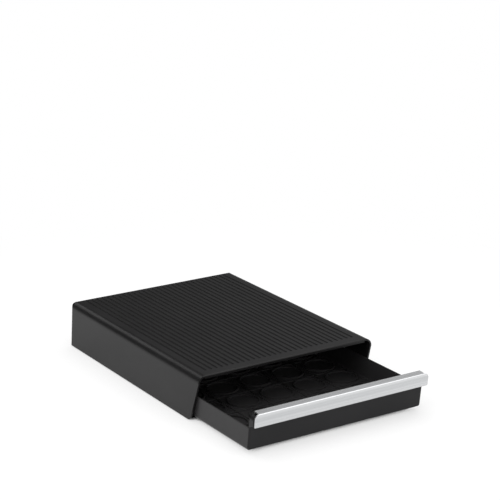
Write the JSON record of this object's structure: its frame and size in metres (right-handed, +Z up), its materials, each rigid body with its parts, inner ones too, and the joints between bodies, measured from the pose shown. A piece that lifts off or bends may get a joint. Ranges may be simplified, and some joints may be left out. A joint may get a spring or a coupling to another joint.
{
  "type": "coffee pod drawer",
  "caption": "Low ribbed-top cover that a coffee maker stands on, with a sliding tray of ring seats for pods and a leaning front with a bright finger-pull trim.",
  "frame": {"origin": "on the table, under the middle of the whole object with its drawer open as at rest", "axes": "+X to the right as seen from the front, +Y from the drawer's front to the cover's rear, +Z up"},
  "size_m": [0.2706, 0.46, 0.0634],
  "materials": {
    "black_plastic": "satin black with a fine moulded grain",
    "panel_plastic": "smooth satin black",
    "silver_trim": "silver film brushed along its length",
    "foot_rubber": "matte black",
    "screw_steel": "zinc plated"
  },
  "bodies": {
    "cover": {"cover_shell": "black_plastic", "front_left_foot": "foot_rubber", "front_right_foot": "foot_rubber", "rear_left_foot": "foot_rubber", "rear_right_foot": "foot_rubber", "left_bumper": "foot_rubber", "right_bumper": "foot_rubber"},
    "drawer": {"drawer_tray": "black_plastic", "front_panel": "panel_plastic", "handle_trim": "silver_trim", "left_end_cap": "panel_plastic", "right_end_cap": "panel_plastic", "trim_screws": "screw_steel", "cap_screws": "screw_steel"}
  },
  "joints": [
    {"name": "drawer_slide", "type": "slide", "parent": "cover", "child": "drawer", "axis": [0, -1, 0], "range_m": [-0.122, 0.175]}
  ]
}
